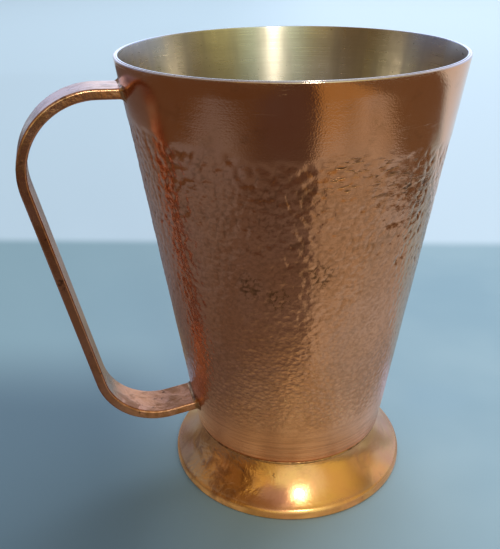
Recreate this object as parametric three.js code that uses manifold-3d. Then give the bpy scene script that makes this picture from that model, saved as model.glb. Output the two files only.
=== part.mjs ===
// Footed copper mug: a tapered hammered cup with a thin pale lining, a low flared
// foot and a flat bent strap handle, joined with brazed seams. Millimetres, +Z up.
// The mug stands on z = 0 and the handle points to -X.
import * as THREE from "three";
import Module from "manifold-3d";
import { mergeVertices } from "three/addons/utils/BufferGeometryUtils.js";

// Driving dimensions.
const RIM_RADIUS = 47.56; // where the cup's outside, run on, meets the height of its rim
const RIM_HEIGHT = 132.6; // rim above the table
const CUP_BASE_RADIUS = 30.55; // outside of the cup at its bottom edge
const CUP_BASE_HEIGHT = 15.5; // underside of the cup above the table
const CUP_EDGE_RADIUS = 0.9; // rounding of the cup's bottom edge
const SHELL_THICKNESS = 0.65; // copper sheet
const LINING_THICKNESS = 0.5;
const RIM_STEP = 0.1; // the lining's edge stands this far above the copper's
const RIM_OUTER_ROUNDING = 0.3; // of the copper's top edge
const RIM_INNER_ROUNDING = 0.2; // of the lining's top edge
const FLOOR_CORNER_RADIUS = 2.5; // between the lining's floor and wall
const SKIN_GAP = 0.05; // between shell and lining, which share their facets

const FOOT_RADIUS = 38; // outside of the foot on the table
const FOOT_BAND_HEIGHT = 1.4; // upright band at the foot's edge
const FOOT_SHOULDER_RADIUS = 2.6; // rounding above that band
const FOOT_SHOULDER_ANGLE = 55; // degrees of that rounding, up to the flare
const FOOT_NECK_RADIUS = 29.3; // outside of the foot under the cup
const FOOT_FLARE_PULL = [31.4, 8.8]; // control point of the flare: radius, height
const FOOT_THICKNESS = 1.0;
const FOOT_HEM_WIDTH = 2.0; // flat ring that the foot stands on
const SEAM_RADIUS = 0.7; // braze bead between foot and cup
const SEAM_CLEARANCE = 0.15; // from the foot and the cup to that bead

const STRAP_WIDTH = 12;
const STRAP_THICKNESS = 2.8;
const STRAP_EDGE_RADIUS = 0.6;
const STRAP_TOP_HEIGHT = 124.65; // middle of the strap where its upper bend starts
const STRAP_TOP_BEND_START = 52.7; // that place's distance from the cup's axis
const STRAP_TOP_RISE = 2.4; // degrees upwards, going out
const STRAP_TOP_BEND_RADIUS = 20.5;
const STRAP_LEG_LEAN = 12; // degrees from upright, the lower end closer in
const STRAP_LEG_LENGTH = 62.5;
const STRAP_LOWER_BEND_RADIUS = 18.7;
const STRAP_BOTTOM_RISE = 7.9; // degrees upwards, going in
const STRAP_ROOT_RADIUS = 22; // both ends reach in to here before the cup cuts them
const JOINT_GAP = 0.3; // left around pieces that are cut to fit each other
const COLLAR_MARGIN = 1.3; // braze collar around the strap, beyond its sides
const COLLAR_DEPTH = 1.2; // that collar's depth off the wall

const AROUND = 72; // facets around every turned piece
const BEND_STEPS = 12;

const COPPER = { color: 0xb8724a, roughness: 0.3, metalness: 1 };
const POLISHED_COPPER = { color: 0xc47a45, roughness: 0.18, metalness: 1 };
const LINING_METAL = { color: 0xb5ab94, roughness: 0.35, metalness: 1 };
const BRAZE = { color: 0xa8743f, roughness: 0.4, metalness: 1 };

const WALL_SLOPE = (RIM_RADIUS - CUP_BASE_RADIUS) / (RIM_HEIGHT - CUP_BASE_HEIGHT);

const wasm = await Module();
wasm.setup();

// Outside radius of the cup at a height.
function wallRadius(height) {
  return CUP_BASE_RADIUS + WALL_SLOPE * (height - CUP_BASE_HEIGHT);
}

function point(radius, height) {
  return new THREE.Vector2(radius, height);
}

// Points on an arc, both ends included, between two angles in degrees.
function arc(centre, radius, from, to, steps) {
  const points = [];
  for (let step = 0; step <= steps; step += 1) {
    const angle = THREE.MathUtils.degToRad(from + ((to - from) * step) / steps);
    points.push(point(centre.x + radius * Math.cos(angle), centre.y + radius * Math.sin(angle)));
  }
  return points;
}

// A profile of radius and height, turned around the Z axis.
function turned(profile) {
  return new THREE.LatheGeometry(profile, AROUND).rotateX(Math.PI / 2);
}

function piece(name, geometry, finish) {
  const mesh = new THREE.Mesh(geometry, new THREE.MeshStandardMaterial(finish));
  mesh.name = name;
  return mesh;
}

function toSolid(geometry) {
  const bare = geometry.clone();
  bare.deleteAttribute("normal");
  bare.deleteAttribute("uv");
  const merged = mergeVertices(bare, 1e-4);
  return new wasm.Manifold(
    new wasm.Mesh({
      numProp: 3,
      vertProperties: new Float32Array(merged.attributes.position.array),
      triVerts: new Uint32Array(merged.index.array),
    }),
  );
}

function toGeometry(solid) {
  const mesh = solid.getMesh();
  const geometry = new THREE.BufferGeometry();
  geometry.setAttribute("position", new THREE.BufferAttribute(new Float32Array(mesh.vertProperties), 3));
  geometry.setIndex(new THREE.BufferAttribute(new Uint32Array(mesh.triVerts), 1));
  geometry.computeVertexNormals();
  return geometry;
}

// Cup: a cone of copper sheet with a flat bottom, open at the top.
function cupShell() {
  const top = RIM_HEIGHT - RIM_STEP;
  const floor = CUP_BASE_HEIGHT + SHELL_THICKNESS;
  const edge = arc(
    point(CUP_BASE_RADIUS - CUP_EDGE_RADIUS, CUP_BASE_HEIGHT + CUP_EDGE_RADIUS),
    CUP_EDGE_RADIUS,
    -90,
    0,
    4,
  );
  const roundingStart = top - RIM_OUTER_ROUNDING;
  const rim = arc(
    point(wallRadius(roundingStart) - RIM_OUTER_ROUNDING, roundingStart),
    RIM_OUTER_ROUNDING,
    0,
    90,
    3,
  );
  return turned([
    point(0, CUP_BASE_HEIGHT),
    ...edge,
    ...rim,
    point(wallRadius(top) - SHELL_THICKNESS, top),
    point(wallRadius(floor) - SHELL_THICKNESS, floor),
    point(0, floor),
  ]);
}

// Lining: a thin skin inside the cup, its edge in sight all around the rim.
function cupLining() {
  const outerInset = SHELL_THICKNESS + SKIN_GAP;
  const innerInset = outerInset + LINING_THICKNESS;
  const underside = CUP_BASE_HEIGHT + outerInset;
  const floor = underside + LINING_THICKNESS;
  const rim = arc(
    point(wallRadius(RIM_HEIGHT) - innerInset + RIM_INNER_ROUNDING, RIM_HEIGHT - RIM_INNER_ROUNDING),
    RIM_INNER_ROUNDING,
    90,
    180,
    3,
  );
  const corner = arc(
    point(wallRadius(floor) - innerInset - FLOOR_CORNER_RADIUS, floor + FLOOR_CORNER_RADIUS),
    FLOOR_CORNER_RADIUS,
    0,
    -90,
    4,
  );
  return turned([
    point(0, underside),
    point(wallRadius(underside) - outerInset, underside),
    point(wallRadius(RIM_HEIGHT) - outerInset, RIM_HEIGHT),
    ...rim,
    ...corner,
    point(0, floor),
  ]);
}

// Outline of the foot from the neck down to its edge band, moved inwards by an inset.
function footOutline(inset) {
  const shoulder = point(FOOT_RADIUS - FOOT_SHOULDER_RADIUS, FOOT_BAND_HEIGHT);
  const roll = arc(shoulder, FOOT_SHOULDER_RADIUS - inset, FOOT_SHOULDER_ANGLE, 0, 4);
  const pull = point(FOOT_FLARE_PULL[0] - inset, FOOT_FLARE_PULL[1]);
  const neck = point(FOOT_NECK_RADIUS - inset, CUP_BASE_HEIGHT - SEAM_CLEARANCE);
  const flare = new THREE.QuadraticBezierCurve(neck, pull, roll[0]).getPoints(8);
  return [...flare, ...roll.slice(1)];
}

// Foot: a spun, hollow flare, open underneath. Its edge is folded in, so it stands
// on a flat hem that is wider than the sheet is thick.
function footPedestal() {
  const hem = point(FOOT_RADIUS - FOOT_HEM_WIDTH, 0);
  const inside = footOutline(FOOT_THICKNESS).filter((spot) => spot.x < hem.x);
  return turned([hem, point(FOOT_RADIUS, 0), ...footOutline(0).reverse(), ...inside, hem.clone()]);
}

// Braze bead in the corner between the foot's neck and the cup's underside. Its
// inner side runs along the flare.
function footSolderRing() {
  const neckSlope =
    (FOOT_FLARE_PULL[0] - FOOT_NECK_RADIUS) / (CUP_BASE_HEIGHT - FOOT_FLARE_PULL[1]);
  const corner = point(FOOT_NECK_RADIUS + SEAM_CLEARANCE, CUP_BASE_HEIGHT - 2 * SEAM_CLEARANCE);
  const bead = arc(corner, SEAM_RADIUS, -70, 0, 4);
  const lower = bead[0];
  lower.x = corner.x + neckSlope * SEAM_RADIUS + SEAM_CLEARANCE / 2;
  return turned([corner, ...bead, corner.clone()]);
}

// The strap's middle line seen from the side, moved outwards by an offset:
// distance from the cup's axis and height, from the upper end to the lower end.
function strapLine(offset) {
  const rise = THREE.MathUtils.degToRad(STRAP_TOP_RISE);
  const lean = THREE.MathUtils.degToRad(STRAP_LEG_LEAN);
  const climb = THREE.MathUtils.degToRad(STRAP_BOTTOM_RISE);
  const run = STRAP_TOP_BEND_START - STRAP_ROOT_RADIUS;
  const bendStart = point(STRAP_TOP_BEND_START, STRAP_TOP_HEIGHT);
  const upward = point(-Math.sin(rise), Math.cos(rise));
  const upperCentre = bendStart.clone().addScaledVector(upward, -STRAP_TOP_BEND_RADIUS);
  const lowerCentre = upperCentre
    .clone()
    .addScaledVector(
      point(Math.cos(lean), -Math.sin(lean)),
      STRAP_TOP_BEND_RADIUS - STRAP_LOWER_BEND_RADIUS,
    )
    .addScaledVector(point(-Math.sin(lean), -Math.cos(lean)), STRAP_LEG_LENGTH);
  const upperBend = arc(
    upperCentre,
    STRAP_TOP_BEND_RADIUS + offset,
    90 + STRAP_TOP_RISE,
    -STRAP_LEG_LEAN,
    BEND_STEPS,
  );
  const lowerBend = arc(
    lowerCentre,
    STRAP_LOWER_BEND_RADIUS + offset,
    -STRAP_LEG_LEAN,
    -90 - STRAP_BOTTOM_RISE,
    BEND_STEPS,
  );
  const lowerEnd = lowerBend[BEND_STEPS];
  return [
    point(STRAP_ROOT_RADIUS, upperBend[0].y - run * Math.tan(rise)),
    ...upperBend,
    ...lowerBend,
    point(STRAP_ROOT_RADIUS, lowerEnd.y + (lowerEnd.x - STRAP_ROOT_RADIUS) * Math.tan(climb)),
  ];
}

// The strap as one bent bar, its ends still reaching into the cup. The margin
// makes it thicker and wider all over.
function bentBar(margin) {
  const half = STRAP_THICKNESS / 2 + margin;
  const outline = [...strapLine(half), ...strapLine(-half).reverse()];
  const edge = STRAP_EDGE_RADIUS;
  const bar = new THREE.ExtrudeGeometry(new THREE.Shape(outline), {
    depth: STRAP_WIDTH + 2 * margin - 2 * edge,
    bevelEnabled: true,
    bevelThickness: edge,
    bevelSize: edge,
    bevelOffset: -edge,
    bevelSegments: 3,
  });
  bar.translate(0, 0, -(STRAP_WIDTH / 2 + margin - edge));
  bar.rotateX(Math.PI / 2); // the drawing's height becomes Z
  bar.rotateZ(Math.PI); // and its radius points to -X
  return toSolid(bar);
}

// The space inside the cup's outer face, widened by a margin.
function cupSpace(margin) {
  const below = 0;
  const above = RIM_HEIGHT + CUP_BASE_HEIGHT;
  return toSolid(
    turned([
      point(0, below),
      point(wallRadius(below) + margin, below),
      point(wallRadius(above) + margin, above),
      point(0, above),
    ]),
  );
}

function handleStrap() {
  return toGeometry(bentBar(0).subtract(cupSpace(JOINT_GAP)));
}

// Braze collars around the strap's ends, against the wall: the upper, then the lower.
function handleSolders() {
  const collars = bentBar(COLLAR_MARGIN)
    .subtract(bentBar(JOINT_GAP))
    .subtract(cupSpace(JOINT_GAP))
    .intersect(cupSpace(JOINT_GAP + COLLAR_DEPTH));
  return collars.splitByPlane([0, 0, 1], RIM_HEIGHT / 2).map(toGeometry);
}

// How far the strap reaches out from the cup's axis.
const handleReach =
  STRAP_TOP_BEND_START +
  STRAP_TOP_BEND_RADIUS * (1 + Math.sin(THREE.MathUtils.degToRad(STRAP_TOP_RISE))) +
  STRAP_THICKNESS / 2;

// The widest the cup gets, just under the rounding of its rim.
const widest = wallRadius(RIM_HEIGHT - RIM_STEP - RIM_OUTER_ROUNDING);

const [upperSolder, lowerSolder] = handleSolders();

const mug = new THREE.Group();
mug.add(
  piece("cup_shell", cupShell(), COPPER),
  piece("cup_lining", cupLining(), LINING_METAL),
  piece("foot_pedestal", footPedestal(), POLISHED_COPPER),
  piece("foot_solder_ring", footSolderRing(), BRAZE),
  piece("handle_strap", handleStrap(), POLISHED_COPPER),
  piece("handle_solder_upper", upperSolder, BRAZE),
  piece("handle_solder_lower", lowerSolder, BRAZE),
);
// The middle of the whole length, handle included, stands on the origin.
mug.position.x = (handleReach - widest) / 2;

const model = new THREE.Group();
model.add(mug);

export default model;
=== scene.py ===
"""Looks of the footed copper mug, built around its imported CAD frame. Metres, +Z up.

The cup's axis stands a little to +X of the origin and the strap handle points to -X.
Every piece is a mesh of its own that stands for one CAD node.
"""

import math

import bpy
import numpy as np
from mathutils import Matrix, Vector, kdtree, noise


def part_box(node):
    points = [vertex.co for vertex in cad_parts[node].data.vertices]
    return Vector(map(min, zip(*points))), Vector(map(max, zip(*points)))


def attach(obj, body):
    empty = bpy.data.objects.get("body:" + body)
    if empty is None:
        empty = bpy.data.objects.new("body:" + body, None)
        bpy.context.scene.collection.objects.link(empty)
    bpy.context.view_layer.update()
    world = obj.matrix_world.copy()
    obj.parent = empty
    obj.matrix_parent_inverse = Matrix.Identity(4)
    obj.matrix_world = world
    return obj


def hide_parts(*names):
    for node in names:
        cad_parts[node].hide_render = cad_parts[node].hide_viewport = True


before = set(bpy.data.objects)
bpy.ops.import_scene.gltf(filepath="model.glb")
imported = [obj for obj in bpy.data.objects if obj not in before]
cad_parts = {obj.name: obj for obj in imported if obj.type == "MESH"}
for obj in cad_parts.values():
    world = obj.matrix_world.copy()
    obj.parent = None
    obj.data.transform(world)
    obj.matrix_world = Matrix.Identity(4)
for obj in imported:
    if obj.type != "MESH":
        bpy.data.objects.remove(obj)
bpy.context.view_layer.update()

MM = 0.001

# Sizes read from the frame.
shell_low, shell_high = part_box("cup_shell")
foot_low, foot_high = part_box("foot_pedestal")
AXIS_X = (shell_low.x + shell_high.x) / 2
RIM_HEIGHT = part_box("cup_lining")[1].z
CUP_BASE_HEIGHT = shell_low.z
SHELL_TOP = shell_high.z
FOOT_RADIUS = (foot_high.y - foot_low.y) / 2
FOOT_TOP = foot_high.z

# Sizes repeated from the CAD source.
RIM_RADIUS = 47.56 * MM
CUP_BASE_RADIUS = 30.55 * MM
CUP_EDGE_RADIUS = 0.9 * MM
SHELL_THICKNESS = 0.65 * MM
LINING_INSET = 0.7 * MM
LINING_THICKNESS = 0.5 * MM
RIM_OUTER_ROUNDING = 0.3 * MM
RIM_INNER_ROUNDING = 0.2 * MM
FLOOR_CORNER_RADIUS = 2.5 * MM
FOOT_BAND_HEIGHT = 1.4 * MM
FOOT_SHOULDER_RADIUS = 2.6 * MM
FOOT_SHOULDER_ANGLE = 55
FOOT_NECK_RADIUS = 29.3 * MM
FOOT_FLARE_PULL = (31.4 * MM, 8.8 * MM)
FOOT_THICKNESS = 1.0 * MM
FOOT_EDGE_RADIUS = 0.3 * MM
FOOT_HEM_WIDTH = 2.0 * MM
SEAM_RADIUS = 0.7 * MM
FILLET_SIZE = 0.95 * MM  # of the braze round the strap's ends
STRAP_WIDTH = 12 * MM
STRAP_THICKNESS = 2.8 * MM
STRAP_EDGE_RADIUS = 0.6 * MM
STRAP_TOP_HEIGHT = 124.65 * MM
STRAP_TOP_BEND_START = 52.7 * MM
STRAP_TOP_RISE = math.radians(2.4)
STRAP_TOP_BEND_RADIUS = 20.5 * MM
STRAP_LEG_LEAN = math.radians(12)
STRAP_LEG_LENGTH = 62.5 * MM
STRAP_LOWER_BEND_RADIUS = 18.7 * MM
STRAP_BOTTOM_RISE = math.radians(7.9)
STRAP_TOP_REACH = 1.25  # how far the arms go on into the wall, as a share of their length
STRAP_BOTTOM_REACH = 1.15

WALL_SLOPE = (RIM_RADIUS - CUP_BASE_RADIUS) / (RIM_HEIGHT - CUP_BASE_HEIGHT)

# Hammering: raised pebbles with grooves between them.
HAMMER_TOP = 114.5 * MM  # smooth above this height
HAMMER_BOTTOM = 27 * MM  # smooth below this height
HAMMER_TILT = 2.7 * MM  # how far the pattern's top edge rises and falls around the cup
PEBBLE_TOP_PITCH = 2.9 * MM  # between neighbours near the top
PEBBLE_LOW_PITCH = 1.7 * MM  # and near the bottom
PEBBLE_SQUASH = 1.3  # how much wider than tall they are
PEBBLE_DEPTH = 0.15 * MM
PEBBLE_TILT = 0.045  # steepest lean of a pebble's top
GROOVE_DEPTH = 0.07 * MM
CREST_DEPTH = 0.035 * MM  # pebble tops stand this far in, so that tilted ones stay in the wall
WAVE_DEPTH = 0.09 * MM  # slow unevenness of the beaten wall
WAVE_LENGTH = 7 * MM
SEED = 7

# Old tarnish: (degrees around the axis, height, reach). Some fills the grooves between the
# pebbles, some lies in level strokes just under the smooth band.
GROOVE_STAINS = (
    (-96, 83 * MM, 5.5 * MM),
    (-122, 79 * MM, 5 * MM),
    (-112, 76 * MM, 5 * MM),
    (40, 62 * MM, 7 * MM),
    (115, 88 * MM, 9 * MM),
)
STROKE_STAINS = (
    (-90, 110 * MM, 8 * MM),
    (-76, 108 * MM, 9 * MM),
    (-66, 105 * MM, 10 * MM),
    (-58, 101 * MM, 8 * MM),
    (20, 106 * MM, 9 * MM),
    (150, 108 * MM, 8 * MM),
)

SHARP_ANGLE = math.radians(42)  # edges steeper than this stay sharp
CUP_STEPS = 600  # vertices around the hammered wall
CUP_ROWS = 138  # rings of them up the hammered stretch
ROUND_STEPS = 240  # vertices around the other turned pieces
STRAP_STEPS = 48  # sections in each bend of the strap
STRAP_END_STEPS = 9  # sections of the strap between a bend and the inside of the wall

# Camera, as the mug is seen.
CAMERA_TURN = math.radians(18)  # round the cup's axis towards the handle, from straight in front
CAMERA_DISTANCE = 202.0 * MM
CAMERA_HEIGHT = 162.3 * MM
CAMERA_YAW = math.radians(-3.39)
CAMERA_PITCH = math.radians(25.86)
CAMERA_ROLL = math.radians(-0.91)
CAMERA_LENS = 47.14  # both in Blender's own millimetres
CAMERA_SENSOR = 36


def wall_radius(height):
    """Outside radius of the cup at a height, without hammer marks."""
    return CUP_BASE_RADIUS + WALL_SLOPE * (height - CUP_BASE_HEIGHT)


# ---------------------------------------------------------------- mesh helpers


def mesh_piece(name, points, faces, material):
    """A smooth-shaded mesh object that keeps its sharp edges."""
    mesh = bpy.data.meshes.new(name)
    mesh.from_pydata([tuple(p) for p in points], [], faces)
    mesh.polygons.foreach_set("use_smooth", [True] * len(mesh.polygons))
    mesh.set_sharp_from_angle(angle=SHARP_ANGLE)
    mesh.materials.append(material)
    mesh.update()
    piece = bpy.data.objects.new(name, mesh)
    bpy.context.scene.collection.objects.link(piece)
    return piece


def finish_piece(piece, node):
    """Hang a piece under the root body and hide the CAD node's mesh that it stands for."""
    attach(piece, "root")
    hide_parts(node)


def arc(centre, radius, start, end, steps):
    """Points on an arc between two angles in degrees, both ends included."""
    angles = np.radians(np.linspace(start, end, steps + 1))
    return [(centre[0] + radius * math.cos(a), centre[1] + radius * math.sin(a)) for a in angles]


def line(start, end, steps):
    """Points from start up to, but without, end."""
    shares = np.arange(steps) / steps
    return [(start[0] + (end[0] - start[0]) * s, start[1] + (end[1] - start[1]) * s) for s in shares]


def ring_faces(rings, around, closed):
    """Quads between neighbouring rings of vertices; closed joins the last ring to the first."""
    faces = []
    for row in range(rings if closed else rings - 1):
        below = row * around
        above = ((row + 1) % rings) * around
        for step in range(around):
            following = (step + 1) % around
            faces.append((below + step, below + following, above + following, above + step))
    return faces


def turned(profile, around):
    """Vertices and faces of a profile of (radius, height) turned about the cup's axis.

    A profile that starts and ends on the axis is closed there with fans; any other is
    joined end to start."""
    on_axis = profile[0][0] == 0
    rows = profile[1:-1] if on_axis else profile
    radii = np.array([p[0] for p in rows])[:, None]
    heights = np.array([p[1] for p in rows])[:, None]
    angles = (np.arange(around) * 2 * math.pi / around)[None, :]
    x = AXIS_X + radii * np.cos(angles)
    y = radii * np.sin(angles)
    z = heights + 0 * angles
    points = np.stack([x, y, z], axis=-1).reshape(-1, 3).tolist()
    faces = ring_faces(len(rows), around, closed=not on_axis)
    if on_axis:
        first, last = len(points), len(points) + 1
        points += [(AXIS_X, 0, profile[0][1]), (AXIS_X, 0, profile[-1][1])]
        top = (len(rows) - 1) * around
        for step in range(around):
            following = (step + 1) % around
            faces.append((first, following, step))
            faces.append((last, top + step, top + following))
    return points, faces


# ---------------------------------------------------------------- cup


def fade(values, low, high):
    """A smooth step from 0 to 1 as the values go from low to high."""
    share = np.clip((values - low) / (high - low), 0, 1)
    return share * share * (3 - 2 * share)


def pebble_pitch(height):
    """Distance between neighbouring pebbles at a height."""
    share = fade(height, 45 * MM, 105 * MM)
    return PEBBLE_LOW_PITCH + (PEBBLE_TOP_PITCH - PEBBLE_LOW_PITCH) * share


def pebble_tree(rng):
    """Uneven rows of pebble centres on the cone, in a search tree with squashed heights."""
    centres = []
    height = HAMMER_BOTTOM - 4 * MM
    row = 0
    while height < HAMMER_TOP + 6 * MM:
        pitch = pebble_pitch(height)
        count = round(2 * math.pi * wall_radius(height) / pitch)
        for step in range(count):
            angle = (step + 0.5 * (row % 2) + rng.uniform(-0.45, 0.45)) * 2 * math.pi / count
            lift = height + rng.uniform(-0.4, 0.4) * pitch
            centres.append((angle, lift))
        height += 0.9 * pitch / PEBBLE_SQUASH
        row += 1
    tree = kdtree.KDTree(len(centres))
    for index, (angle, height) in enumerate(centres):
        radius = wall_radius(height)
        spot = (radius * math.cos(angle), radius * math.sin(angle), height * PEBBLE_SQUASH)
        tree.insert(spot, index)
    tree.balance()
    return tree, centres


def hammer_marks(angles, heights):
    """Depth below the smooth wall, and how deep in a groove, at each angle and height."""
    rng = np.random.default_rng(SEED)
    tree, centres = pebble_tree(rng)
    lows = rng.uniform(0.35, 1.0, len(centres))
    tilts = rng.uniform(-PEBBLE_TILT, PEBBLE_TILT, (len(centres), 2))
    depth = np.zeros((len(heights), len(angles)))
    groove = np.zeros_like(depth)
    for row, height in enumerate(heights):
        pitch = pebble_pitch(height)
        radius = wall_radius(height)
        for column, angle in enumerate(angles):
            spot = (radius * math.cos(angle), radius * math.sin(angle), height * PEBBLE_SQUASH)
            (near_spot, index, near), (_, _, second) = tree.find_n(spot, 2)
            fall = lows[index] * (near / (0.6 * pitch)) ** 2
            edge = max(0.0, 1 - (second - near) / (0.32 * pitch))
            offset = Vector(spot) - near_spot
            around = offset.y * math.cos(angle) - offset.x * math.sin(angle)
            rise = offset.z / PEBBLE_SQUASH
            tilt = tilts[index][0] * around + tilts[index][1] * rise
            wave = WAVE_DEPTH * (0.5 + noise.noise(Vector(spot) / WAVE_LENGTH))
            depth[row, column] = PEBBLE_DEPTH * fall + GROOVE_DEPTH * edge * edge + tilt + wave
            groove[row, column] = edge
    angle, height = np.meshgrid(angles, heights)
    ragged = 1.1 * MM * np.sin(7 * angle) * np.sin(3 * angle + 1) + 0.5 * MM * np.sin(23 * angle + 2)
    top = HAMMER_TOP - HAMMER_TILT * np.cos(angle + CAMERA_TURN) + ragged
    strength = 1 - fade(height, top - 1.5 * MM, top + 0.3 * MM)
    strength *= 0.42 + 0.58 * fade(height, 45 * MM, 100 * MM)
    strength *= fade(height, HAMMER_BOTTOM - 3 * MM, HAMMER_BOTTOM + 8 * MM)
    return (depth + CREST_DEPTH) * strength, groove * strength


def make_cup_shell(material):
    """The copper cup, its wall pushed in by the hammer marks."""
    edge_centre = (CUP_BASE_RADIUS - CUP_EDGE_RADIUS, CUP_BASE_HEIGHT + CUP_EDGE_RADIUS)
    edge = arc(edge_centre, CUP_EDGE_RADIUS, -90, 0, 5)
    floor = CUP_BASE_HEIGHT + SHELL_THICKNESS
    marks_low, marks_high = HAMMER_BOTTOM - 3.5 * MM, HAMMER_TOP + 5 * MM
    marks_start = (wall_radius(marks_low), marks_low)
    marks_end = (wall_radius(marks_high), marks_high)
    rounding_start = SHELL_TOP - RIM_OUTER_ROUNDING
    rim_centre = (wall_radius(rounding_start) - RIM_OUTER_ROUNDING, rounding_start)
    rim = arc(rim_centre, RIM_OUTER_ROUNDING, 0, 90, 4)
    lower_wall = line((CUP_BASE_RADIUS, CUP_BASE_HEIGHT + CUP_EDGE_RADIUS), marks_start, 3)[1:]
    profile = (
        [(0, CUP_BASE_HEIGHT)]
        + edge
        + lower_wall
        + line(marks_start, marks_end, CUP_ROWS)
        + line(marks_end, rim[0], 3)
        + rim
        + [
            (wall_radius(SHELL_TOP) - SHELL_THICKNESS, SHELL_TOP),
            (wall_radius(floor) - SHELL_THICKNESS, floor),
            (0, floor),
        ]
    )
    points, faces = turned(profile, CUP_STEPS)
    angles = np.arange(CUP_STEPS) * 2 * math.pi / CUP_STEPS
    heights = marks_low + (marks_high - marks_low) * np.arange(CUP_ROWS) / CUP_ROWS
    depth, groove = hammer_marks(angles, heights)
    first = (len(edge) + len(lower_wall)) * CUP_STEPS
    points = np.array(points)
    marked = slice(first, first + CUP_ROWS * CUP_STEPS)
    directions = np.tile(np.stack([np.cos(angles), np.sin(angles)], axis=1), (CUP_ROWS, 1))
    points[marked, :2] -= directions * depth.reshape(-1, 1)
    piece = mesh_piece("hammered_cup", points.tolist(), faces, material)
    grooves = np.zeros(len(points), dtype=np.float32)
    grooves[marked] = groove.ravel()
    layer = piece.data.attributes.new("groove", "FLOAT", "POINT")
    layer.data.foreach_set("value", grooves)
    finish_piece(piece, "cup_shell")


def make_cup_lining(material):
    """The thin skin inside the cup."""
    inset = LINING_INSET + LINING_THICKNESS
    underside = CUP_BASE_HEIGHT + LINING_INSET
    floor = underside + LINING_THICKNESS
    corner_centre = (wall_radius(floor) - inset - FLOOR_CORNER_RADIUS, floor + FLOOR_CORNER_RADIUS)
    corner = arc(corner_centre, FLOOR_CORNER_RADIUS, 0, -90, 8)
    rounding = RIM_INNER_ROUNDING
    rim_centre = (wall_radius(RIM_HEIGHT) - inset + rounding, RIM_HEIGHT - rounding)
    rim = arc(rim_centre, rounding, 90, 180, 4)
    profile = (
        [(0, underside), (wall_radius(underside) - LINING_INSET, underside)]
        + [(wall_radius(RIM_HEIGHT) - LINING_INSET, RIM_HEIGHT)]
        + rim
        + line(rim[-1], corner[0], 24)[1:]
        + corner
        + [(0, floor)]
    )
    points, faces = turned(profile, ROUND_STEPS)
    piece = mesh_piece("pale_lining", points, faces, material)
    finish_piece(piece, "cup_lining")


# ---------------------------------------------------------------- foot


def foot_outline(inset):
    """The flare and the rolled edge under it, from the neck down, moved in by inset."""
    shoulder = (FOOT_RADIUS - FOOT_SHOULDER_RADIUS, FOOT_BAND_HEIGHT)
    roll = arc(shoulder, FOOT_SHOULDER_RADIUS - inset, FOOT_SHOULDER_ANGLE, 0, 10)
    neck = (FOOT_NECK_RADIUS - inset, FOOT_TOP)
    pull = (FOOT_FLARE_PULL[0] - inset, FOOT_FLARE_PULL[1])
    flare = []
    for share in np.linspace(0, 1, 29)[:-1]:
        a, b, c = (1 - share) ** 2, 2 * share * (1 - share), share**2
        flare.append(tuple(a * neck[i] + b * pull[i] + c * roll[0][i] for i in (0, 1)))
    return flare + roll


def make_foot(material):
    """The hollow foot, open underneath."""
    hem = FOOT_RADIUS - FOOT_HEM_WIDTH
    inside = [spot for spot in foot_outline(FOOT_THICKNESS) if spot[0] < hem]
    rim_centre = (FOOT_RADIUS - FOOT_EDGE_RADIUS, FOOT_EDGE_RADIUS)
    rim = arc(rim_centre, FOOT_EDGE_RADIUS, -90, 0, 3)
    profile = [(hem, 0)] + rim + foot_outline(0)[::-1] + inside
    points, faces = turned(profile, ROUND_STEPS)
    piece = mesh_piece("flared_foot", points, faces, material)
    finish_piece(piece, "foot_pedestal")


def make_foot_seam(material):
    """The bead of braze in the corner between the cup and the foot."""
    low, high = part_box("foot_solder_ring")
    outer = (high.y - low.y) / 2
    middle = (outer - SEAM_RADIUS * 0.75, high.z - SEAM_RADIUS * 0.45)
    bead = arc(middle, SEAM_RADIUS * 0.72, 0, 330, 11)
    points, faces = turned(bead, ROUND_STEPS)
    piece = mesh_piece("foot_braze", points, faces, material)
    finish_piece(piece, "foot_solder_ring")


# ---------------------------------------------------------------- handle


def strap_path():
    """The strap's middle line, from inside the upper wall to inside the lower wall.

    Each entry is (radius, height, heading), heading in radians from straight outwards,
    turning downwards."""
    rise, lean, climb = STRAP_TOP_RISE, STRAP_LEG_LEAN, STRAP_BOTTOM_RISE

    def ahead(spot, heading, length):
        return (spot[0] + length * math.cos(heading), spot[1] - length * math.sin(heading))

    def bend(spot, heading, to, radius):
        centre = (spot[0] - radius * math.sin(heading), spot[1] - radius * math.cos(heading))
        turns = np.linspace(heading, to, STRAP_STEPS)
        return [(centre[0] + radius * math.sin(t), centre[1] + radius * math.cos(t), t) for t in turns]

    heading = -rise
    start = (STRAP_TOP_BEND_START, STRAP_TOP_HEIGHT)
    run = STRAP_TOP_BEND_START - wall_radius(STRAP_TOP_HEIGHT)
    shares = np.linspace(STRAP_TOP_REACH, 0, STRAP_END_STEPS + 1)[:-1]
    entry = [(*ahead(start, heading, -run * share), heading) for share in shares]
    upper = bend(start, heading, math.pi / 2 + lean, STRAP_TOP_BEND_RADIUS)
    leg_top = upper[-1]
    leg = [
        (*ahead(leg_top[:2], leg_top[2], STRAP_LEG_LENGTH * share), leg_top[2])
        for share in np.linspace(0, 1, STRAP_STEPS // 2)[1:-1]
    ]
    leg_end = ahead(leg_top[:2], leg_top[2], STRAP_LEG_LENGTH)
    lower = bend(leg_end, leg_top[2], math.pi + climb, STRAP_LOWER_BEND_RADIUS)
    *bend_end, heading = lower[-1]
    run = bend_end[0] - wall_radius(bend_end[1])
    shares = np.linspace(0, STRAP_BOTTOM_REACH, STRAP_END_STEPS + 1)[1:]
    exit_run = [(*ahead(bend_end, heading, run * share), heading) for share in shares]
    return entry + upper + leg + lower + exit_run


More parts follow.
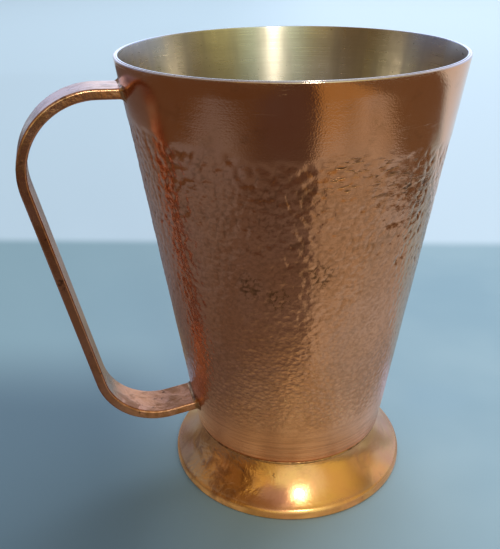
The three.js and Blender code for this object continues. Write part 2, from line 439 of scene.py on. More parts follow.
def strap_section():
    """Rounded rectangle, counter-clockwise: (across the width, through the thickness).

    A point on the flat beside each rounded corner keeps the flat's shading flat."""
    radius = STRAP_EDGE_RADIUS
    beside = 0.08 * MM
    half_width = STRAP_WIDTH / 2 - radius
    half_thickness = STRAP_THICKNESS / 2 - radius
    points = []
    for side, up, start in ((1, 1, 0), (-1, 1, 90), (-1, -1, 180), (1, -1, 270)):
        centre = (side * half_width, up * half_thickness)
        corner = arc(centre, radius, start, start + 90, 6)
        turn = math.radians(start)
        before = (corner[0][0] + beside * math.sin(turn), corner[0][1] - beside * math.cos(turn))
        after = (corner[-1][0] - beside * math.cos(turn), corner[-1][1] - beside * math.sin(turn))
        points += [before, *corner, after]
    return points


def strap_point(radius, height, heading, across, through):
    """Where a point of the section lies in space, at a place on the path."""
    out = radius + through * math.sin(heading)
    up = height + through * math.cos(heading)
    return (AXIS_X - out, -across, up)


def make_handle(material):
    """The strap: its section swept along its path, closed inside the wall at both ends."""
    path = strap_path()
    section = strap_section()
    points = [strap_point(*spot, *corner) for spot in path for corner in section]
    count = len(section)
    faces = ring_faces(len(path), count, closed=False)
    faces = [tuple(reversed(face)) for face in faces]
    faces.append(tuple(range(count)))
    faces.append(tuple(reversed(range(len(points) - count, len(points)))))
    piece = mesh_piece("strap_handle", points, faces, material)
    finish_piece(piece, "handle_strap")


def wall_hit(spot, direction):
    """Where a line from outside the cup meets its outer wall."""
    position = np.array(spot, float)
    step = np.array(direction, float)
    for _ in range(40):
        radial = math.hypot(position[0] - AXIS_X, position[1])
        gap = radial - wall_radius(position[2])
        position = position + step * gap
    return position


def make_handle_braze(name, node, is_upper, material):
    """A hollow fillet between the wall and the strap's end, uneven as braze is."""
    end = strap_path()[STRAP_END_STEPS - 1 if is_upper else -STRAP_END_STEPS]
    section = strap_section()
    heading = end[2]
    along = np.array([-math.cos(heading), 0, -math.sin(heading)])  # away from the wall
    if not is_upper:
        along = -along
    rings = []
    for index, corner in enumerate(section):
        before = section[index - 1]
        after = section[(index + 1) % len(section)]
        edge = np.array([after[0] - before[0], after[1] - before[1]])
        normal = np.array([edge[1], -edge[0]]) / np.linalg.norm(edge)
        on_strap = np.array(strap_point(*end, *corner))
        aside = np.array(strap_point(*end, corner[0] + normal[0], corner[1] + normal[1])) - on_strap
        foot = wall_hit(on_strap, -along)
        turn = 2 * math.pi * index / len(section)
        size = FILLET_SIZE * (1 + 0.22 * math.sin(3 * turn + 1) + 0.12 * math.sin(7 * turn))
        on_wall = wall_hit(foot + aside * size + along * 4 * MM, -along)
        top = foot + along * size * 1.1
        ring = [foot - aside * 0.2 * MM - along * 0.3 * MM, top - aside * 0.15 * MM]
        middle = foot + (top - foot) * 0.22 + (on_wall - foot) * 0.22
        for share in np.linspace(0, 1, 8):
            a, b, c = (1 - share) ** 2, 2 * share * (1 - share), share**2
            ring.append(a * top + b * middle + c * on_wall)
        ring.append(on_wall - along * 0.3 * MM)
        rings.append(ring)
    depth = len(rings[0])
    points = [point for ring in rings for point in ring]
    faces = ring_faces(len(rings), depth, closed=True)
    piece = mesh_piece(name, points, faces, material)
    finish_piece(piece, node)


# ---------------------------------------------------------------- materials

COPPER = (0.85, 0.39, 0.19)
COPPER_ROSE = (0.86, 0.43, 0.245)
COPPER_GOLD = (0.88, 0.46, 0.17)
COPPER_AGED = (0.66, 0.3, 0.145)
COPPER_AGED_ROSE = (0.7, 0.37, 0.25)
COPPER_BROWN = (0.42, 0.19, 0.085)
COPPER_SCRATCHED = (0.93, 0.6, 0.42)
# painted glint colour for the lower hammered wall
COPPER_GLINT_PAINT = (1.0, 0.68, 0.36)
TARNISH = (0.16, 0.075, 0.035)
# painted highlight colour for the copper lip
LIP_PAINTED_HIGHLIGHT = (0.76, 0.63, 0.56)
LINING_PALE = (0.62, 0.545, 0.45)
LINING_DULL = (0.54, 0.475, 0.385)
LINING_BRUSHED = (0.42, 0.35, 0.26)
# painted reflection streaks inside the lining
LINING_REFLECTION_STREAK = (0.36, 0.31, 0.25)
LINING_SPECK = (0.16, 0.13, 0.09)
# painted highlight colour for the lining's lip
LINING_LIP_HIGHLIGHT = (0.74, 0.7, 0.7)
BRAZE_BRIGHT = (0.62, 0.33, 0.14)
BRAZE_DARK = (0.22, 0.1, 0.05)

MOTTLED_PLACE = (AXIS_X - 29 * MM, -16 * MM, 8 * MM)  # on the foot, towards the handle
DULL_PLACE = (AXIS_X - 43 * MM, 0, 25 * MM)  # in the strap's lower bend
TURNED_FROM = 34 * MM  # lathe lines instead of hammering fade in below this height
TURNED_FULL = 22 * MM


class Shading:
    """Short names for the nodes of one material."""

    def __init__(self, name):
        self.material = bpy.data.materials.new(name)
        self.material.use_nodes = True
        self.tree = self.material.node_tree
        self.shader = self.tree.nodes["Principled BSDF"]
        self.place = self.add("ShaderNodeTexCoord").outputs["Object"]

    def add(self, kind, **settings):
        """A new node with some of its properties set."""
        made = self.tree.nodes.new(kind)
        for key, value in settings.items():
            setattr(made, key, value)
        return made

    def feed(self, socket, value):
        """Give a socket either another node's output or a plain value."""
        if isinstance(value, bpy.types.NodeSocket):
            self.tree.links.new(value, socket)
        else:
            socket.default_value = value

    def stretched(self, across, along):
        """Object coordinates scaled alike in X and Y by across and in Z by along."""
        mapping = self.add("ShaderNodeMapping")
        mapping.inputs["Scale"].default_value = (across, across, along)
        self.feed(mapping.inputs["Vector"], self.place)
        return mapping.outputs["Vector"]

    def noise(self, vector, detail=3.0, roughness=0.5, distortion=0.0):
        """Cloudy noise, about 0.3 to 0.7, with features as big as one unit of vector."""
        made = self.add("ShaderNodeTexNoise")
        made.inputs["Scale"].default_value = 1.0
        made.inputs["Detail"].default_value = detail
        made.inputs["Roughness"].default_value = roughness
        made.inputs["Distortion"].default_value = distortion
        self.feed(made.inputs["Vector"], vector)
        return made.outputs["Fac"]

    def grade(self, value, low, high, new_low=0.0, new_high=1.0):
        """A smooth step from new_low to new_high as value goes from low to high."""
        made = self.add("ShaderNodeMapRange", interpolation_type="SMOOTHSTEP")
        self.feed(made.inputs["Value"], value)
        made.inputs["From Min"].default_value = low
        made.inputs["From Max"].default_value = high
        made.inputs["To Min"].default_value = new_low
        made.inputs["To Max"].default_value = new_high
        return made.outputs["Result"]

    def math(self, operation, first, second=0.0):
        made = self.add("ShaderNodeMath", operation=operation)
        self.feed(made.inputs[0], first)
        self.feed(made.inputs[1], second)
        return made.outputs["Value"]

    def times(self, first, *others):
        """The product of all the values."""
        product = first
        for other in others:
            product = self.math("MULTIPLY", product, other)
        return product

    def blend(self, factor, first, second):
        """The first colour where factor is 0 and the second where it is 1."""
        made = self.add("ShaderNodeMix", data_type="RGBA")
        self.feed(made.inputs["Factor"], factor)
        for socket, value in zip((made.inputs[6], made.inputs[7]), (first, second)):
            self.feed(socket, value if isinstance(value, bpy.types.NodeSocket) else (*value, 1))
        return made.outputs[2]

    def axis(self, letter):
        """One object coordinate, "X", "Y" or "Z"."""
        made = self.add("ShaderNodeSeparateXYZ")
        self.feed(made.inputs["Vector"], self.place)
        return made.outputs[letter]

    def distance(self, point):
        """How far it is from a point given in object coordinates."""
        made = self.add("ShaderNodeVectorMath", operation="DISTANCE")
        self.feed(made.inputs[0], self.place)
        made.inputs[1].default_value = point
        return made.outputs["Value"]

    def bump(self, height, distance, strength=1.0, under=None):
        """A normal bent by height, on top of the normal under."""
        made = self.add("ShaderNodeBump")
        made.inputs["Distance"].default_value = distance
        made.inputs["Strength"].default_value = strength
        self.feed(made.inputs["Height"], height)
        if under is not None:
            self.feed(made.inputs["Normal"], under)
        return made.outputs["Normal"]

    def finish(self, color, roughness, normal=None, metallic=1.0):
        """Feed the shader and hand out the finished material."""
        self.feed(self.shader.inputs["Base Color"], color)
        self.feed(self.shader.inputs["Roughness"], roughness)
        self.shader.inputs["Metallic"].default_value = metallic
        if normal is not None:
            self.feed(self.shader.inputs["Normal"], normal)
        return self.material


def near_places(s, places):
    """1 in the middle of each place on the wall, falling to 0 at its reach."""
    total = None
    for degrees, at, reach in places:
        angle = math.radians(degrees)
        radius = wall_radius(at)
        away = s.distance((AXIS_X + radius * math.cos(angle), radius * math.sin(angle), at))
        near = s.grade(away, reach * 0.3, reach, 1, 0)
        total = near if total is None else s.math("MAXIMUM", total, near)
    return total


def hammered_copper():
    """The cup's wall, from the lathe lines near the foot to the smooth band and the lip."""
    s = Shading("hammered_copper")
    height = s.axis("Z")
    groove = s.add("ShaderNodeAttribute", attribute_name="groove").outputs["Fac"]
    cloud = s.noise(s.stretched(45, 45), detail=4, roughness=0.6)
    blotch = s.noise(s.stretched(130, 180), detail=4, roughness=0.65)
    fine = s.noise(s.stretched(900, 1100), detail=3, roughness=0.6)
    strokes = s.noise(s.stretched(300, 1150), detail=3, roughness=0.55, distortion=0.5)
    lathe = s.noise(s.stretched(45, 1250), detail=4, roughness=0.65)
    grain = s.noise(s.stretched(2300, 2300), detail=2)
    scratch = s.noise(s.stretched(60, 2600), detail=3, roughness=0.6, distortion=0.6)

    # Where on the wall.
    turned_zone = s.grade(height, TURNED_FULL, TURNED_FROM, 1, 0)
    pitted_zone = s.times(
        s.grade(height, TURNED_FULL, TURNED_FROM),
        s.grade(height, 104 * MM, 112 * MM, 1, 0),
    )
    low = s.grade(height, 30 * MM, 80 * MM, 1, 0)
    band = s.grade(height, HAMMER_TOP - 3 * MM, HAMMER_TOP + 1 * MM)
    lip = s.grade(height, SHELL_TOP - 0.45 * MM, SHELL_TOP - 0.15 * MM, 0, 0.8)

    # Clouds of copper, browner in the grooves.
    color = s.blend(s.grade(cloud, 0.35, 0.7), COPPER, COPPER_ROSE)
    color = s.blend(s.grade(blotch, 0.54, 0.78, 0, 0.35), color, COPPER_BROWN)
    worn = s.times(s.grade(groove, 0.25, 1.0, 0, 0.65), s.grade(blotch, 0.38, 0.62, 0.15, 1))
    color = s.blend(worn, color, COPPER_BROWN)

    # Tarnish, in the grooves of some places and in level strokes in others.
    patchy = s.grade(blotch, 0.3, 0.55, 0.3, 1)
    crevice = s.math("MAXIMUM", s.grade(groove, 0.15, 0.7, 0, 0.9), s.grade(fine, 0.6, 0.72))
    filled = s.times(near_places(s, GROOVE_STAINS), crevice, patchy)
    level = s.times(near_places(s, STROKE_STAINS), s.grade(strokes, 0.54, 0.64, 0, 0.9), patchy)
    stain = s.math("MAXIMUM", filled, level)
    color = s.blend(stain, color, TARNISH)

    # Small pits and painted golden glints on the hammered part, turned lines under it.
    pebbles = s.add("ShaderNodeTexVoronoi", feature="SMOOTH_F1")
    pebbles.inputs["Scale"].default_value = 1.0
    pebbles.inputs["Smoothness"].default_value = 0.3
    s.feed(pebbles.inputs["Vector"], s.stretched(680, 880))
    pits = s.times(pebbles.outputs["Distance"], pitted_zone, s.grade(low, 0, 1, 0.55, 1))
    color = s.blend(s.grade(pits, 0.3, 0.62, 0, 0.26), color, COPPER_BROWN)
    color = s.blend(s.times(s.grade(fine, 0.46, 0.62, 0, 0.3), pitted_zone), color, COPPER_BROWN)
    # painted glints: light golden specks standing in for the lamp caught by tiny facets
    painted_glints = s.times(s.grade(grain, 0.6, 0.7, 0, 0.5), pitted_zone, low)
    color = s.blend(painted_glints, color, COPPER_GLINT_PAINT)
    color = s.blend(s.times(turned_zone, s.grade(lathe, 0.44, 0.62, 0, 0.4)), color, COPPER_BROWN)

    # Nicks in the smooth band, and a painted highlight along the lip.
    nicks = s.times(s.grade(scratch, 0.63, 0.72), s.grade(cloud, 0.48, 0.62), band)
    color = s.blend(s.times(nicks, 0.25), color, COPPER_SCRATCHED)
    # painted highlight: the top of the lip paler, as where the rim shines
    color = s.blend(lip, color, LIP_PAINTED_HIGHLIGHT)

    roughness = s.math("SUBTRACT", s.grade(cloud, 0.3, 0.75, 0.15, 0.23), s.times(band, 0.065))
    roughness = s.math("ADD", roughness, s.times(stain, 0.3))
    normal = s.bump(s.times(lathe, s.grade(turned_zone, 0, 1, 0.12, 1)), 0.14 * MM, 0.6)
    normal = s.bump(s.times(s.math("ADD", scratch, nicks), 0.4), 0.04 * MM, 0.5, normal)
    normal = s.bump(pits, 0.24 * MM, 0.5, normal)
    normal = s.bump(s.times(level, -1.0), 0.12 * MM, 0.6, normal)
    normal = s.bump(s.times(grain, s.grade(low, 0, 1, 0.5, 1)), 0.1 * MM, 0.6, normal)
    return s.finish(color, roughness, normal)


def polished_copper(name, tones, smoothest, wear, brown_place, dulling):
    """Copper without hammer marks, browner and dented about brown_place and, with dulling, rougher.
    A higher wear gives more brown mottling and more dark spots everywhere."""
    s = Shading(name)
    cloud = s.noise(s.stretched(60, 60), detail=4, roughness=0.6, distortion=0.4)
    mottle = s.noise(s.stretched(170, 170), detail=5, roughness=0.6, distortion=0.3)
    grain = s.noise(s.stretched(1500, 1500), detail=3)
    spot = s.noise(s.stretched(420, 420), detail=3, roughness=0.6)
    spun = s.noise(s.stretched(70, 2600), detail=3, roughness=0.6)
    near = s.grade(s.distance(brown_place), 8 * MM, 23 * MM, 1, 0)
    color = s.blend(s.grade(cloud, 0.35, 0.7), *tones)
    color = s.blend(s.times(near, s.grade(mottle, 0.44, 0.6, 0, 0.75)), color, COPPER_BROWN)
    color = s.blend(s.grade(mottle, 0.55 - 0.1 * wear, 0.72, 0, wear), color, COPPER_BROWN)
    color = s.blend(s.grade(spot, 0.71 - 0.1 * wear, 0.79 - 0.1 * wear, 0, 0.75), color, TARNISH)
    foot_edge = s.grade(s.axis("Z"), 1 * MM, 5 * MM, 0.16, 0)
    roughness = s.math("ADD", s.grade(cloud, 0.3, 0.7, smoothest, smoothest + 0.08), foot_edge)
    roughness = s.math("ADD", roughness, s.grade(mottle, 0.45, 0.7, 0, 0.08))
    roughness = s.math("ADD", roughness, s.grade(near, 0, 1, 0, dulling))
    normal = s.bump(s.times(mottle, s.grade(near, 0, 1, 0.5 * wear, 1)), 1.1 * MM, 0.5)
    normal = s.bump(spun, 0.02 * MM, 0.4, normal)
    normal = s.bump(grain, 0.03 * MM, 0.35, normal)
    return s.finish(color, roughness, normal)


def pale_lining():
    """Thin pale metal, brushed round the cup's axis so that what it mirrors is drawn out upwards."""
    s = Shading("pale_lining")
    brushed = s.noise(s.stretched(18, 2200), detail=3, roughness=0.6)
    cloud = s.noise(s.stretched(50, 120), detail=4, roughness=0.6)
    streak = s.noise(s.stretched(260, 18), detail=3)
    speck = s.noise(s.stretched(900, 900), detail=1)
    lip = s.grade(s.axis("Z"), RIM_HEIGHT - 0.4 * MM, RIM_HEIGHT - 0.15 * MM)
    color = s.blend(s.grade(cloud, 0.35, 0.7), LINING_PALE, LINING_DULL)
    color = s.blend(s.grade(brushed, 0.35, 0.75, 0, 0.16), color, LINING_BRUSHED)
    # painted reflections: darker upright streaks, like the ones the brushed lining mirrors
    color = s.blend(s.grade(streak, 0.45, 0.7, 0, 0.22), color, LINING_REFLECTION_STREAK)
    color = s.blend(s.grade(speck, 0.74, 0.8, 0, 0.55), color, LINING_SPECK)
    # painted highlight along the lining's lip
    color = s.blend(lip, color, LINING_LIP_HIGHLIGHT)
    roughness = s.math("SUBTRACT", s.grade(brushed, 0.3, 0.7, 0.3, 0.36), s.times(lip, 0.15))
    roughness = s.math("ADD", roughness, s.grade(streak, 0.4, 0.7, -0.04, 0.04))
    s.shader.inputs["Anisotropic"].default_value = 0.72
    s.shader.inputs["Anisotropic Rotation"].default_value = 0.25
    tangent = s.add("ShaderNodeTangent", direction_type="RADIAL", axis="Z")
    s.feed(s.shader.inputs["Tangent"], tangent.outputs["Tangent"])
    return s.finish(color, roughness, s.bump(brushed, 0.01 * MM, 0.2))


def braze():
    """Brass-coloured filler, dark where the flux has burnt."""
    s = Shading("braze")
    cloud = s.noise(s.stretched(500, 500), detail=4, roughness=0.6)
    color = s.blend(s.grade(cloud, 0.35, 0.7), BRAZE_BRIGHT, BRAZE_DARK)
    return s.finish(color, s.grade(cloud, 0.3, 0.7, 0.25, 0.5), s.bump(cloud, 0.1 * MM, 0.5))


# ---------------------------------------------------------------- stage

# The floor and the painted reflection card use their own coordinates: X to the right as the camera
# sees it, Y away from the camera, both from the cup's axis.
FLOOR_REACH = 4
BACK_EDGE = 170 * MM  # where the darker cloth on the floor ends
FLOOR_BLUE = (0.26, 0.38, 0.46)
FLOOR_PALE = (0.31, 0.43, 0.5)
# painted shade to the left, and the mug's painted shadow, on the cloth
FLOOR_LEFT_SHADE = (0.22, 0.325, 0.375)
FLOOR_PAINTED_SHADOW = (0.11, 0.17, 0.22)
FLOOR_FAR_LEFT = (0.44, 0.54, 0.62)
FLOOR_FAR_RIGHT = (0.54, 0.64, 0.73)

# The painted reflection card: a glowing sheet, no lamp, that only reflections see.
CARD_HEIGHT = 0.4 * MM
CARD_BACK = 36 * MM  # right behind the cup the metal mirrors the floor itself
CARD_SHEETS = (  # left, front, right, back
    (-1.2, -1.6, 1.2, CARD_BACK),
    (-1.2, CARD_BACK, -0.05, 0.7),
    (0.2, CARD_BACK, 1.2, 0.09),
    (0.28, 0.09, 1.2, 0.15),
)
# Painted light and painted shade of the cloth on the card, and the painted floor beyond it.
FRONT_EDGE = -222 * MM  # the mirrored cloth's edges
LEFT_EDGE = -238 * MM
RIGHT_EDGE = 207 * MM
RIGHT_EDGE_SLANT = 0.45
SHADE_EDGE = 2 * MM  # shade to the left of it, light to the right
SHADE_SLANT = 0.25  # sideways drift of the shade's edge per metre ahead
SHADE_LEFT = (0.2, 0.225, 0.29)
SHADE_RIGHT = (0.145, 0.135, 0.14)
SHADE_SPOT = (0.095, 0.072, 0.065)
SHADE_MIDDLE = (0.085, 0.068, 0.065)
LIT_FRONT = ((0.2, 0.185, 0.14), (0.5, 0.53, 0.53))  # darkest and brightest of each mottling
LIT_WARM = ((0.3, 0.26, 0.17), (0.66, 0.65, 0.47))
LIT_COOL = ((0.24, 0.26, 0.27), (0.48, 0.58, 0.7))
ROOM_LEFT = (0.1, 0.065, 0.04)
ROOM_RIGHT = (0.085, 0.06, 0.055)
ROOM_LIT = (0.34, 0.26, 0.13)
BEYOND_RIGHT = (0.15, 0.115, 0.08)
BEYOND_LEFT = (0.11, 0.075, 0.05)
BEHIND_LEFT_FAR = (0.11, 0.09, 0.085)
BEHIND_LEFT_NEAR = (0.19, 0.22, 0.27)
# Painted highlights on the card beside the foot, which the foot and wall mirror.
PAINTED_SIDE_GLINTS = (  # beside the foot: centre and colour
    ((55 * MM, 25 * MM, 0), (0.52, 0.64, 0.88)),
    ((-55 * MM, 25 * MM, 0), (0.25, 0.31, 0.45)),
)


def stage_piece(name, rectangles, height):
    """Level rectangles, squared up with the camera about the cup's axis."""
    points = []
    for left, front, right, back in rectangles:
        points += [(left, front, height), (right, front, height)]
        points += [(right, back, height), (left, back, height)]
    faces = [tuple(range(4 * index, 4 * index + 4)) for index in range(len(rectangles))]
    mesh = bpy.data.meshes.new(name)
    mesh.from_pydata(points, [], faces)
    piece = bpy.data.objects.new(name, mesh)
    piece.location = (AXIS_X, 0, 0)
    piece.rotation_euler = (0, 0, -CAMERA_TURN)
    bpy.context.scene.collection.objects.link(piece)
    return piece


def make_floor():
    """A plain pale floor: cloth darkest to the left of the mug from painted shade and a painted shadow
    of the mug, and paler far behind.
    """
    floor = stage_piece("floor", [(-FLOOR_REACH, -FLOOR_REACH, FLOOR_REACH, FLOOR_REACH)], 0)
    s = Shading("floor")
    across, ahead = s.axis("X"), s.axis("Y")
    cloud = s.noise(s.stretched(14, 14), detail=3)
    side = s.grade(across, -190 * MM, 110 * MM)
    slant = s.math("ADD", across, s.times(ahead, SHADE_SLANT))
    near_color = s.blend(s.grade(cloud, 0.3, 0.7), FLOOR_BLUE, FLOOR_PALE)
    # painted shade: the cloth darker towards the left
    near_color = s.blend(side, FLOOR_LEFT_SHADE, near_color)
    # painted shadow of the mug, to its left and in front of it
    shade = s.times(s.grade(slant, -70 * MM, -5 * MM, 1, 0), s.grade(ahead, 10 * MM, 70 * MM, 1, 0))
    near_color = s.blend(shade, near_color, FLOOR_PAINTED_SHADOW)
    far_color = s.blend(side, FLOOR_FAR_LEFT, FLOOR_FAR_RIGHT)
    far = s.grade(ahead, BACK_EDGE - 3 * MM, BACK_EDGE + 12 * MM)
    color = s.blend(far, near_color, far_color)
    floor.data.materials.append(s.finish(color, 0.9, None, 0.0))


def mirrored_shade(s, across, ahead, mottled):
    """Painted shade on the card: the cloth's half that lies in the mug's and the viewer's shade."""
    color = s.blend(s.grade(across, -170 * MM, -60 * MM), SHADE_LEFT, SHADE_RIGHT)
    color = s.blend(s.grade(mottled, 0.35, 0.65, 0, 0.6), color, SHADE_SPOT)
    to_front = s.grade(ahead, -205 * MM, -165 * MM, 1, 0)
    middle = s.times(to_front, s.grade(across, -125 * MM, -80 * MM))
    return s.blend(middle, color, SHADE_MIDDLE)


def mirrored_light(s, across, ahead, mottled):
    """Painted light on the card: the cloth's half that the window lights, warmer near the shade's
    edge.
    """
    mottling = s.grade(mottled, 0.33, 0.67)
    warm = s.blend(mottling, *LIT_WARM)
    cool = s.blend(mottling, *LIT_COOL)
    near = s.blend(s.grade(across, 8 * MM, 55 * MM), warm, cool)
    front = s.blend(mottling, *LIT_FRONT)
    return s.blend(s.grade(ahead, -105 * MM, -60 * MM), front, near)


def mirrored_surroundings(s, across, ahead, slant, cloth):
    """The painted cloth on the card, and what lies beyond each of its edges."""
    room = s.blend(s.grade(across, -110 * MM, -60 * MM), ROOM_LEFT, ROOM_RIGHT)
    room = s.blend(s.grade(slant, 9 * MM, 26 * MM), room, ROOM_LIT)
    color = s.blend(s.grade(ahead, FRONT_EDGE - 6 * MM, FRONT_EDGE + 6 * MM, 1, 0), cloth, room)
    reach = s.math("ADD", across, s.times(ahead, RIGHT_EDGE_SLANT))
    color = s.blend(s.grade(reach, RIGHT_EDGE - 6 * MM, RIGHT_EDGE + 6 * MM), color, BEYOND_RIGHT)
    to_left = s.grade(across, LEFT_EDGE - 5 * MM, LEFT_EDGE + 5 * MM, 1, 0)
    color = s.blend(to_left, color, BEYOND_LEFT)
    behind = s.times(s.grade(ahead, 30 * MM, 130 * MM), s.grade(across, -100 * MM, -50 * MM, 1, 0))
    behind_left = s.blend(s.grade(across, -340 * MM, -250 * MM), BEHIND_LEFT_FAR, BEHIND_LEFT_NEAR)
    return s.blend(behind, color, behind_left)


def make_painted_reflection_card():
    """A painted reflection: a glowing sheet, no lamp, showing what the metal mirrors from the floor in
    front of
    the mug: a cloth, half of it in painted shade, that ends at straight edges, and darker floor beyond
    them. Only reflections see it."""
    card = stage_piece("painted_reflection_card", CARD_SHEETS, CARD_HEIGHT)
    s = Shading("painted_reflection_card")
    across, ahead = s.axis("X"), s.axis("Y")
    slant = s.math("ADD", across, s.times(ahead, SHADE_SLANT))
    mottled = s.noise(s.stretched(30, 30), detail=5, roughness=0.7)
    lit = s.grade(slant, SHADE_EDGE - 7 * MM, SHADE_EDGE + 7 * MM)
    glow = s.times(s.grade(slant, -75 * MM, 0), s.grade(ahead, -125 * MM, -45 * MM))
    shade_color = mirrored_shade(s, across, ahead, mottled)
    light_color = mirrored_light(s, across, ahead, mottled)
    cloth = s.blend(s.math("MAXIMUM", lit, glow), shade_color, light_color)
    color = mirrored_surroundings(s, across, ahead, slant, cloth)
    # painted highlights beside the foot
    for centre, glint in PAINTED_SIDE_GLINTS:
        color = s.blend(s.grade(s.distance(centre), 6 * MM, 16 * MM, 1, 0), color, glint)
    # the card glows with its painted reflection colours; it is no lamp
    emission = s.add("ShaderNodeEmission")
    s.feed(emission.inputs["Color"], color)
    s.feed(s.tree.nodes["Material Output"].inputs["Surface"], emission.outputs["Emission"])
    card.data.materials.append(s.material)
    card.visible_camera = False
    card.visible_diffuse = False
    card.visible_shadow = False
    card.visible_transmission = False


def from_front(bearing, elevation, distance, centre=(0, 0, 0)):
    """A place seen from centre: bearing in degrees from straight in front towards the right."""
    angle = math.radians(bearing - 90) - CAMERA_TURN
    rise = math.radians(elevation)
    level = math.cos(rise)
    direction = Vector((math.cos(angle) * level, math.sin(angle) * level, math.sin(rise)))
    return Vector((AXIS_X, 0, 0)) + Vector(centre) + direction * distance


WINDOW_PLACE = (165, 55, 2.6)  # bearing, elevation and distance
WINDOW_SIZE = (2.6, 2.0)
WINDOW_WATTS = 68
WINDOW_COLOR = (0.86, 0.93, 1)
LAMP_PLACE = (14, 33, 0.7)
LAMP_SIZE = (0.075, 0.1)
LAMP_WATTS = 0.75
LAMP_COLOR = (1, 0.95, 0.86)
LIT_PLACE = (AXIS_X, 0, 60 * MM)  # what both lights are turned to


def make_light(name, location, size, watts, color):
    data = bpy.data.lights.new(name, "AREA")
    data.shape = "RECTANGLE"
    data.size, data.size_y = size
    data.energy = watts
    data.color = color
    lamp = bpy.data.objects.new(name, data)
    lamp.location = location
    lamp.rotation_mode = "QUATERNION"
    lamp.rotation_quaternion = (Vector(LIT_PLACE) - location).to_track_quat("-Z", "Y")
    bpy.context.scene.collection.objects.link(lamp)
    return lamp


def make_lights():
    """A large soft window behind the mug, which the metal doesn't mirror, and a small lamp."""
    place = from_front(*WINDOW_PLACE)
    window = make_light("back_window", place, WINDOW_SIZE, WINDOW_WATTS, WINDOW_COLOR)
    window.visible_glossy = False
    make_light("lamp", from_front(*LAMP_PLACE), LAMP_SIZE, LAMP_WATTS, LAMP_COLOR)


def make_camera():
    """The photograph's own view of the mug."""
    data = bpy.data.cameras.new("camera")
    data.sensor_width = CAMERA_SENSOR
    data.lens = CAMERA_LENS
    data.clip_start = 0.01
    camera = bpy.data.objects.new("camera", data)
    yaw = CAMERA_YAW + CAMERA_TURN
    forward = Vector((
        math.sin(yaw) * math.cos(CAMERA_PITCH),
        math.cos(yaw) * math.cos(CAMERA_PITCH),
        -math.sin(CAMERA_PITCH),
    ))
    right = Vector((math.cos(yaw), -math.sin(yaw), 0))
    up = right.cross(forward)
    rolled_right = right * math.cos(CAMERA_ROLL) + up * math.sin(CAMERA_ROLL)
    rolled_up = up * math.cos(CAMERA_ROLL) - right * math.sin(CAMERA_ROLL)
    rotation = Matrix((rolled_right, rolled_up, -forward)).transposed()
    camera.rotation_mode = "QUATERNION"
    camera.rotation_quaternion = rotation.to_quaternion()
    camera.location = from_front(0, 0, CAMERA_DISTANCE, (0, 0, CAMERA_HEIGHT))
    bpy.context.scene.collection.objects.link(camera)
    bpy.context.scene.camera = camera


# What the metal mirrors above the floor: (bearing from the camera's side, positive to the
# right; elevation; degrees from it where the patch starts and where it is full; colour).
BACKDROP = (0.68, 0.78, 0.85)  # the only colour the camera sees there
WORLD_BASE = (0.24, 0.17, 0.09)
WORLD_PATCHES = (
    (180, 30, 95, 50, (0.36, 0.43, 0.54)),
    (180, 8, 60, 25, (0.75, 0.88, 1.05)),
    (128, 8, 45, 15, (0.6, 0.74, 1.0)),
    (-130, 5, 45, 15, (0.2, 0.25, 0.44)),
    (180, 13, 30, 12, (1.15, 1.4, 1.85)),
    (-150, 14, 17, 7, (0.7, 0.9, 1.35)),
    (140, 15, 22, 9, (0.65, 0.85, 1.35)),
    (-162, 42, 25, 10, (0.33, 0.34, 0.36)),
    (0, 90, 55, 20, (0.4, 0.42, 0.46)),
    (26, 16, 62, 22, (0.72, 0.68, 0.3)),
    (15, 20, 31, 14, (0.95, 1.15, 0.85)),
    (88, 3, 20, 9, (0.5, 0.47, 0.32)),
    (-48, 25, 30, 12, (0.2, 0.125, 0.05)),
    (-26, 22, 13, 5, (0.62, 0.5, 0.22)),
    (-10, 41, 19, 10, (0.38, 0.33, 0.36)),
    (-28, 50, 16, 6, (0.24, 0.15, 0.09)),
    (103, 20, 13, 6, (0.75, 0.75, 0.7)),
    (-80, 16, 11, 5, (0.36, 0.3, 0.2)),
)


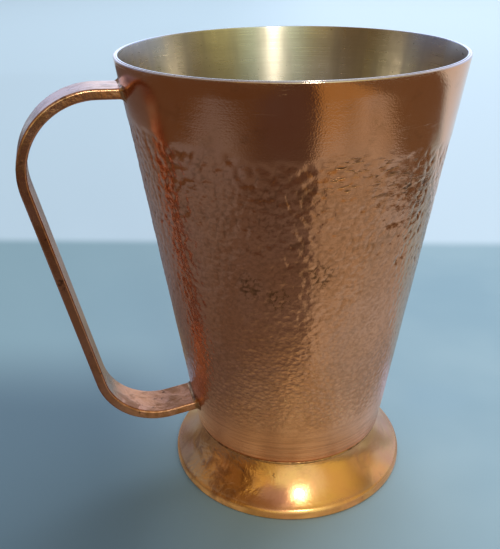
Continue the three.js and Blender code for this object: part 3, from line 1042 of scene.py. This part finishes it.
def make_world():
    """A dim warm room in front of the mug, with a glow round the lamp, and a pale cool one behind."""
    world = bpy.data.worlds.new("studio")
    world.use_nodes = True
    tree = world.node_tree
    coordinates = tree.nodes.new("ShaderNodeTexCoord")
    below = None
    for bearing, elevation, start, full, color in WORLD_PATCHES:
        dot = tree.nodes.new("ShaderNodeVectorMath")
        dot.operation = "DOT_PRODUCT"
        tree.links.new(coordinates.outputs["Generated"], dot.inputs[0])
        dot.inputs[1].default_value = from_front(bearing, elevation, 1) - Vector((AXIS_X, 0, 0))
        step = tree.nodes.new("ShaderNodeMapRange")
        step.interpolation_type = "SMOOTHSTEP"
        tree.links.new(dot.outputs["Value"], step.inputs["Value"])
        step.inputs["From Min"].default_value = math.cos(math.radians(start))
        step.inputs["From Max"].default_value = math.cos(math.radians(full))
        mix = tree.nodes.new("ShaderNodeMix")
        mix.data_type = "RGBA"
        tree.links.new(step.outputs["Result"], mix.inputs["Factor"])
        if below is None:
            mix.inputs[6].default_value = (*WORLD_BASE, 1)
        else:
            tree.links.new(below, mix.inputs[6])
        mix.inputs[7].default_value = (*color, 1)
        below = mix.outputs[2]
    seen = tree.nodes.new("ShaderNodeMix")
    seen.data_type = "RGBA"
    rays = tree.nodes.new("ShaderNodeLightPath")
    tree.links.new(rays.outputs["Is Camera Ray"], seen.inputs["Factor"])
    tree.links.new(below, seen.inputs[6])
    seen.inputs[7].default_value = (*BACKDROP, 1)
    tree.links.new(seen.outputs[2], tree.nodes["Background"].inputs["Color"])
    bpy.context.scene.world = world


make_camera()
make_world()
make_floor()
make_painted_reflection_card()
make_lights()
bpy.context.scene.view_settings.view_transform = "Standard"

copper = hammered_copper()
polished = polished_copper("polished_copper", (COPPER_GOLD, COPPER), 0.12, 0.3, MOTTLED_PLACE, 0)
aged = polished_copper("aged_copper", (COPPER_AGED, COPPER_AGED_ROSE), 0.14, 0.9, DULL_PLACE, 0.25)
pale = pale_lining()
joint = braze()
make_cup_shell(copper)
make_cup_lining(pale)
make_foot(polished)
make_foot_seam(joint)
make_handle(aged)
make_handle_braze("upper_braze", "handle_solder_upper", True, joint)
make_handle_braze("lower_braze", "handle_solder_lower", False, joint)
